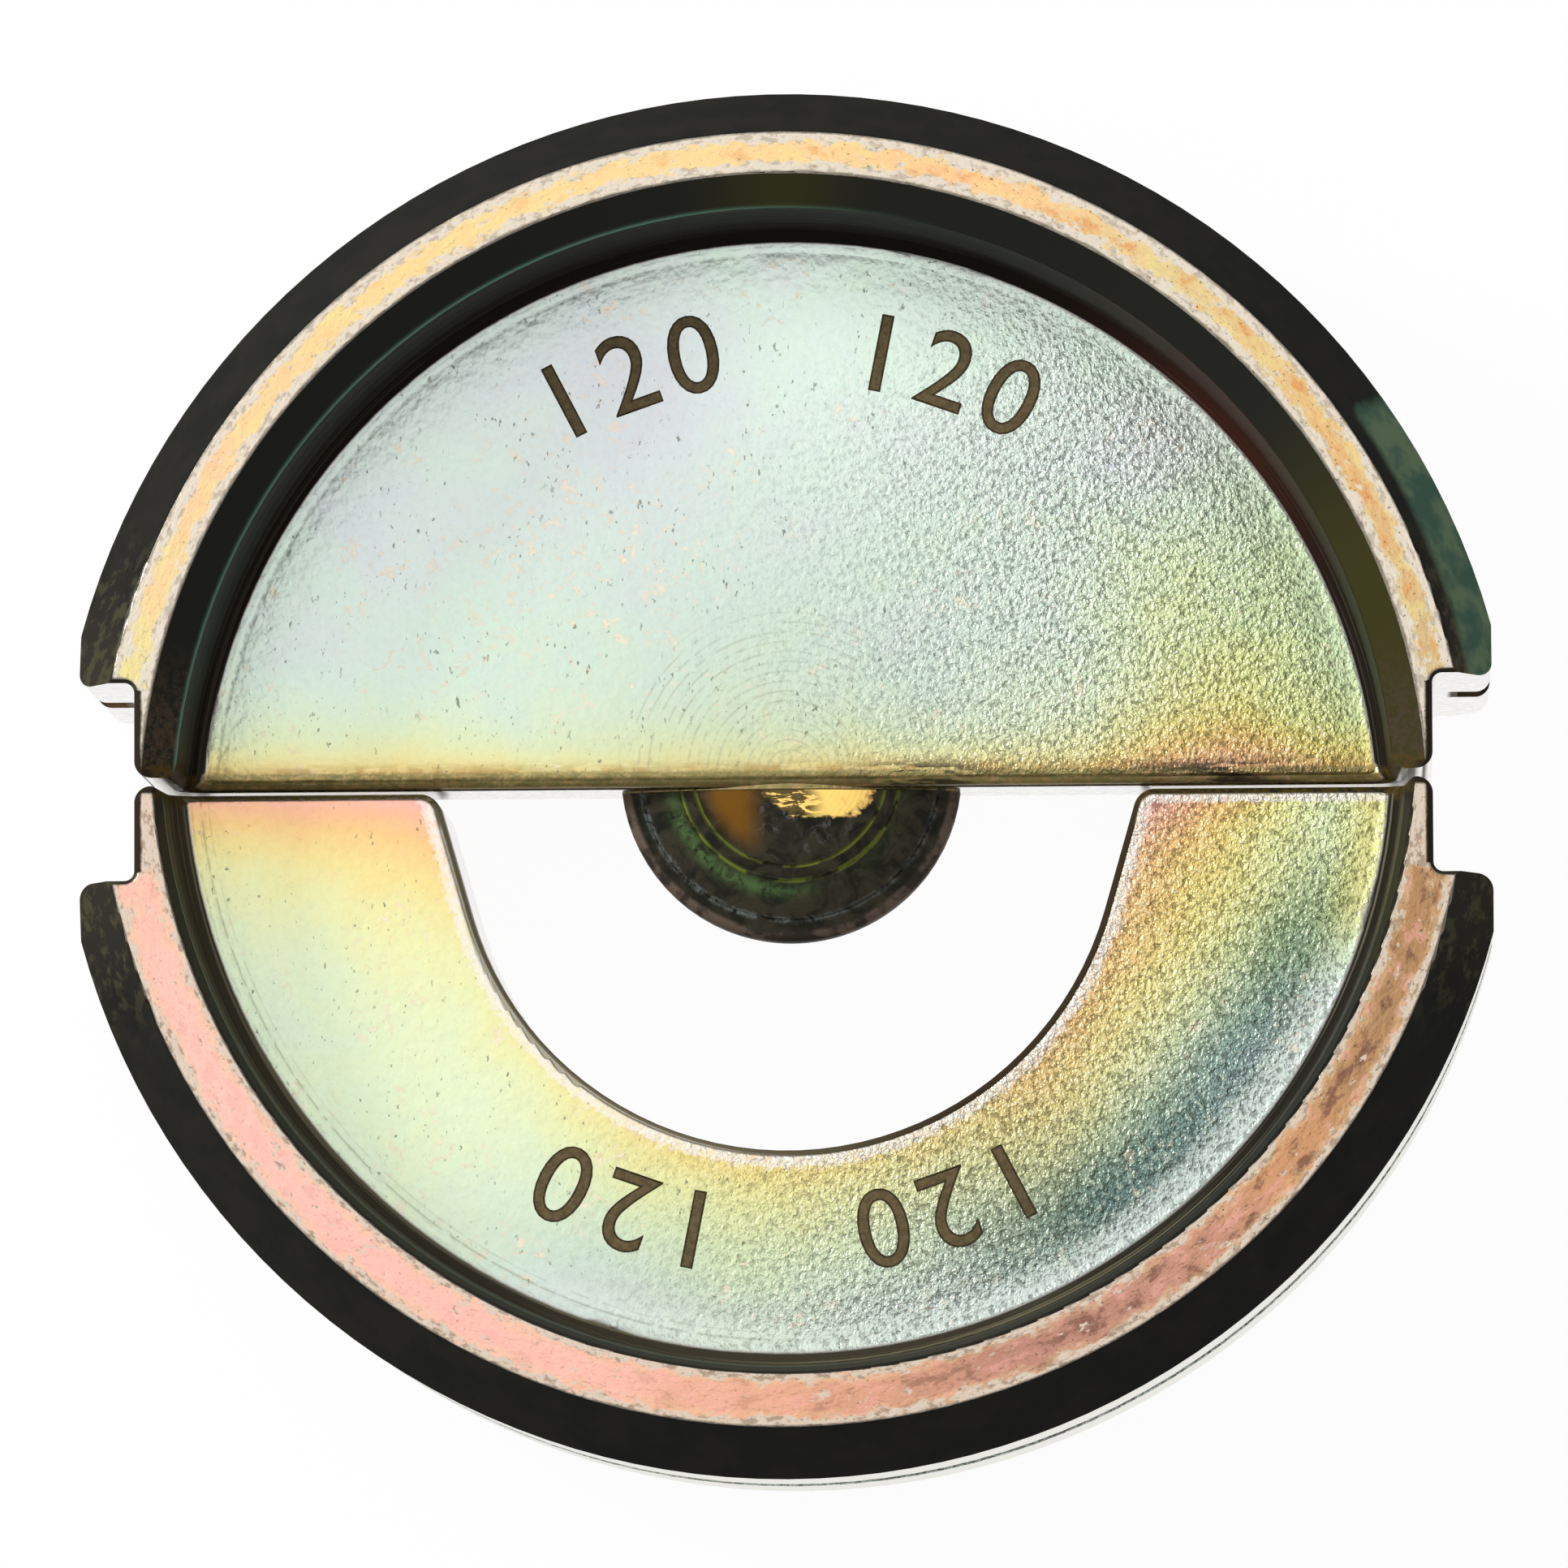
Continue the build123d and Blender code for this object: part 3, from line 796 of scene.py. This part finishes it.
def halfMaterial(name):
    # the whole finish of one half: a plated or bare metal, and a dull shader carrying the painted dark shade
    # where pale is 0
    half, look = halves[name], steelLook
    bench = Bench("zinc plated steel, " + name + " half")
    spot = layOut(bench, half)
    if name == "nest":
        spot["outward"] = outOfNest(bench, spot)
        film, shade = nestWebFilm(bench, spot), nestWebShade(bench, spot)
        nestWall = nestWallBare(bench, spot)
    else:
        film, shade = punchWebFilm(bench, spot), punchWebShade(bench, spot)
        nestWall = 0.0
    webColour, webHeight = webFinish(bench, spot, half, film, shade)
    nearEdge = webEdge(bench, spot, half)
    wornAmount = edgeLook["wornLeast"] + bench.smooth(spot["dust"], 0.40, 0.56) * edgeLook["wornMore"]
    webColour = bench.mix(nearEdge * wornAmount, webColour, half["edgeTone"])
    if name == "nest":
        level = levelNest(bench, spot, spot["level"])
    else:
        webColour = edgeStreaked(bench, spot, webColour)
        rounded = bench.smooth(spot["facing"], *look["roundedFacing"])
        level = spot["level"] * (1 - nearEdge) + rounded * nearEdge
    ringColour, ringHeight, outline = ringFinish(bench, spot, half)

    inGroove = grooveZone(bench, spot)
    # the outlines of painted shade at the horn ends take the dark shader
    outline = outline * spot["onRim"]
    dark = bench.mix(outline, darkSides(bench, spot, half, inGroove), sideLook["outlineTone"])
    top = bench.mix(spot["onRim"], webColour, ringColour)
    colour = bench.mix(level, bareSides(bench, spot), top)
    partingStart, partingEnd = [partingY + step for step in look["partingBlend"]]
    parting = bench.smooth(spot["back"], partingStart, partingEnd) * spot["upright"]
    pale = bench.most(parting, bench.most(spot["upright"] * (1 - spot["inRecess"]), nestWall))
    pale = bench.most(level, pale) * (1 - inGroove) * (1 - outline)
    height = (ringHeight * spot["onRim"] + webHeight * (1 - spot["onRim"])) * spot["level"]
    if name == "punch":
        punchStart, punchEnd = [partingY + step for step in punchLook["edgeBack"]]
        onPunch = bench.smooth(spot["back"], punchStart, punchEnd)
        punchTop = onPunch * bench.smooth(spot["facing"], *punchLook["topFacing"])
        punchColour, punchHeight, goldHighlight = punchFinish(bench, spot)
        colour = bench.mix(onPunch, colour, punchColour)
        dark = bench.mix(onPunch, dark, punchColour)
        height = height * (1 - onPunch) + punchHeight * punchTop
        # the painted gold highlight takes the plated shader
        pale = pale * (1 - onPunch) + goldHighlight * onPunch

    normal = bench.node("ShaderNodeBump", None, {"Strength": 1.0, "Distance": millimetre, "Height": height})
    metallic = 1 - level * look["metallicLoss"]
    roughness = look["roughness"] + level * look["roughnessLevel"]
    roughness = roughness + (spot["dust"] - 0.5) * look["roughnessDust"]
    plated = bench.node("ShaderNodeBsdfPrincipled", None, {
        "Base Color": colour, "Metallic": metallic, "Roughness": roughness, "Normal": normal,
    })
    # a dull shader carrying the painted dark shade of the sloping faces and recesses
    darkened = bench.node("ShaderNodeBsdfPrincipled", None, {
        "Base Color": dark, "Roughness": look["stainRoughness"],
        "Specular IOR Level": look["stainSpecular"], "Normal": normal,
    })
    shader = bench.node("ShaderNodeMixShader", None, {0: pale, 1: darkened, 2: plated})
    return bench.finish(shader)


for name, half in halves.items():
    node = frame["nodes"][half["node"]]
    node.material_slots[0].material = halfMaterial(name)
print("halves finished")

# Plain numbers on an arc of each web, on both faces: a thin raised burr with a paler stroke inside it
marks = {
    "text": "120", "tall": 2.45, "thick": 0.03, "baseline": 13.55,
    "tallInFont": 0.72,    # a digit's height as a share of the font's size
    "angles": ((117.5, 109.3, 101.2), (78.8, 70.7, 62.5)),
    "grimeScale": 6.0, "grimeHeight": 0.02, "roughness": 0.6, "specular": 0.2,
    "layers": {
        "burr": {"light": "3f331c", "dark": "2c2314", "swell": 0.022, "proud": 0.006},
        "groove": {"light": "67583a", "dark": "54472c", "swell": -0.035, "proud": 0.010},
    },
}


def digitMesh(digit, swell):
    # one digit as a closed mesh, with its foot on the origin
    bpy.ops.object.select_all(action="DESELECT")
    bpy.ops.object.text_add(location=(0, 0, 0))
    text = bpy.context.object
    text.data.body = digit
    text.data.align_x = "CENTER"
    text.data.size = marks["tall"] / 1000 / marks["tallInFont"]
    text.data.offset = swell / 1000
    text.data.extrude = marks["thick"] / 2000
    text.data.resolution_u = 6
    bpy.ops.object.convert(target="MESH")
    bpy.ops.object.mode_set(mode="EDIT")
    bpy.ops.mesh.select_all(action="SELECT")
    bpy.ops.mesh.remove_doubles(threshold=1e-7)
    bpy.ops.mesh.normals_make_consistent(inside=False)
    bpy.ops.object.mode_set(mode="OBJECT")
    return bpy.context.object


def markPlace(half, face, angle, proud):
    # where a digit stands: out along the web, turned to its angle, then onto its face and its half
    stand = half["webHalf"] + proud - marks["thick"] / 2
    lift = Matrix.Translation((0, marks["baseline"] / 1000, stand / 1000))
    fan = Matrix.Rotation(radians(angle - 90), 4, "Z")
    place = Matrix.Translation((0, -centreInset / 1000, 0)) @ fan @ lift
    if face < 0:
        place = Matrix.Rotation(pi, 4, "Y") @ place
    if half["side"] < 0:
        place = Matrix.Rotation(pi, 4, "Z") @ place
    return Matrix.Translation((0, 0, middleZ / 1000)) @ place


def markPiece(name, half, layer, material):
    # all the digits of one layer on one half, joined into one piece
    made = []
    for face in (1, -1):
        for group in marks["angles"]:
            for digit, angle in zip(marks["text"], group):
                piece = digitMesh(digit, layer["swell"])
                piece.data.transform(markPlace(half, face, angle, layer["proud"]))
                made.append(piece)
    bpy.ops.object.select_all(action="DESELECT")
    for piece in made:
        piece.select_set(True)
    bpy.context.view_layer.objects.active = made[0]
    bpy.ops.object.join()
    joined = bpy.context.object
    joined.name = name
    joined.data.materials.clear()
    joined.data.materials.append(material)
    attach(joined, "root")


def markMaterial(name, layer):
    # a dull finish between the layer's two tones
    bench = Bench(name)
    grime = bench.noise(bench.place(), marks["grimeScale"], 4.0, 0.65)
    colour = bench.mix(bench.smooth(grime, 0.38, 0.62), layer["dark"], layer["light"])
    height = grime * marks["grimeHeight"]
    bump = bench.node("ShaderNodeBump", None, {"Distance": millimetre, "Height": height})
    return bench.finish(bench.node("ShaderNodeBsdfPrincipled", None, {
        "Base Color": colour, "Roughness": marks["roughness"], "Specular IOR Level": marks["specular"],
        "Normal": bump,
    }))


markMaterials = {kind: markMaterial("mark " + kind, layer) for kind, layer in marks["layers"].items()}
for name, half in halves.items():
    for kind, layer in marks["layers"].items():
        markPiece(name + "_mark_" + kind, half, layer, markMaterials[kind])
print("numbers placed")

# Pale floor just under the die, near white to the camera and white in reflections
floor = {"size": 1.2, "drop": 0.00002, "colour": "f4f4f3", "evenness": 0.96}
bpy.ops.object.select_all(action="DESELECT")
bpy.ops.mesh.primitive_plane_add(size=floor["size"], location=(0, 0, -floor["drop"]))
floorPlane = bpy.context.object
floorPlane.name = "floor"
bench = Bench("pale floor")
matt = bench.node("ShaderNodeBsdfDiffuse", None, {"Color": floor["colour"]})
bright = bench.node("ShaderNodeEmission", None, {"Color": (1, 1, 1, 1), "Strength": 1.0})
seen = bench.node("ShaderNodeLightPath", out="Is Camera Ray") * floor["evenness"]
mirrored = bench.node("ShaderNodeLightPath", out="Is Glossy Ray")
shader = bench.node("ShaderNodeMixShader", None, {0: bench.most(seen, mirrored), 1: matt, 2: bright})
floorPlane.data.materials.append(bench.finish(shader))

# Soft round lamps aimed at the die, in metres and watts, and an even white world
lamps = {
    "overhead": {"spot": (-0.06, 0.08, 0.50), "size": 0.68, "watts": 1.18},
    "left": {"spot": (-0.50, 0.22, 0.32), "size": 0.20, "watts": 3.0},
}
for name, lamp in lamps.items():
    aim = Vector((0, 0, middleZ / 1000)) - Vector(lamp["spot"])
    turn = aim.to_track_quat("-Z", "Y").to_euler()
    bpy.ops.object.light_add(type="AREA", location=lamp["spot"], rotation=turn)
    light = bpy.context.object
    light.name = name + " lamp"
    light.data.shape = "DISK"
    light.data.size = lamp["size"]
    light.data.energy = lamp["watts"]

studio = {"colour": (1, 1, 1, 1), "strength": 0.38}
world = bpy.data.worlds.new("studio")
bpy.context.scene.world = world
world.use_nodes = True
world.node_tree.nodes.clear()
background = world.node_tree.nodes.new("ShaderNodeBackground")
background.inputs["Color"].default_value = studio["colour"]
background.inputs["Strength"].default_value = studio["strength"]
output = world.node_tree.nodes.new("ShaderNodeOutputWorld")
world.node_tree.links.new(background.outputs[0], output.inputs[0])
print("studio lit")

# The photograph's view: places in metres, the roll in radians, the sensor in millimetres, and lengths in the
# picture in its own pixels
shot = {
    "imagePixels": 1932,
    "foot": (0.01675, -0.03697),
    "height": 0.41996,
    "aim": (0.00006, -0.00023, 0.014),
    "roll": -0.0042,
    "focalPixels": 16805,
    "sensor": 36,
    "clip": (0.01, 10),
}
eye = Vector((*shot["foot"], shot["height"]))
sight = (Vector(shot["aim"]) - eye).normalized()
across = sight.cross(Vector((0, 1, 0))).normalized()
upward = across.cross(sight)
rollTurn = Matrix.Rotation(shot["roll"], 3, -sight)
across, upward = rollTurn @ across, rollTurn @ upward
turn = Matrix((across, upward, -sight)).transposed()
bpy.ops.object.camera_add(location=eye, rotation=turn.to_euler())
camera = bpy.context.object
camera.data.sensor_width = shot["sensor"]
camera.data.lens = shot["sensor"] * shot["focalPixels"] / shot["imagePixels"]
camera.data.clip_start, camera.data.clip_end = shot["clip"]
bpy.context.scene.camera = camera
bpy.context.scene.cycles.max_bounces = 3    # enough for this open part, and keeps the render short
bpy.context.scene.view_settings.view_transform = "Standard"
print("camera set")
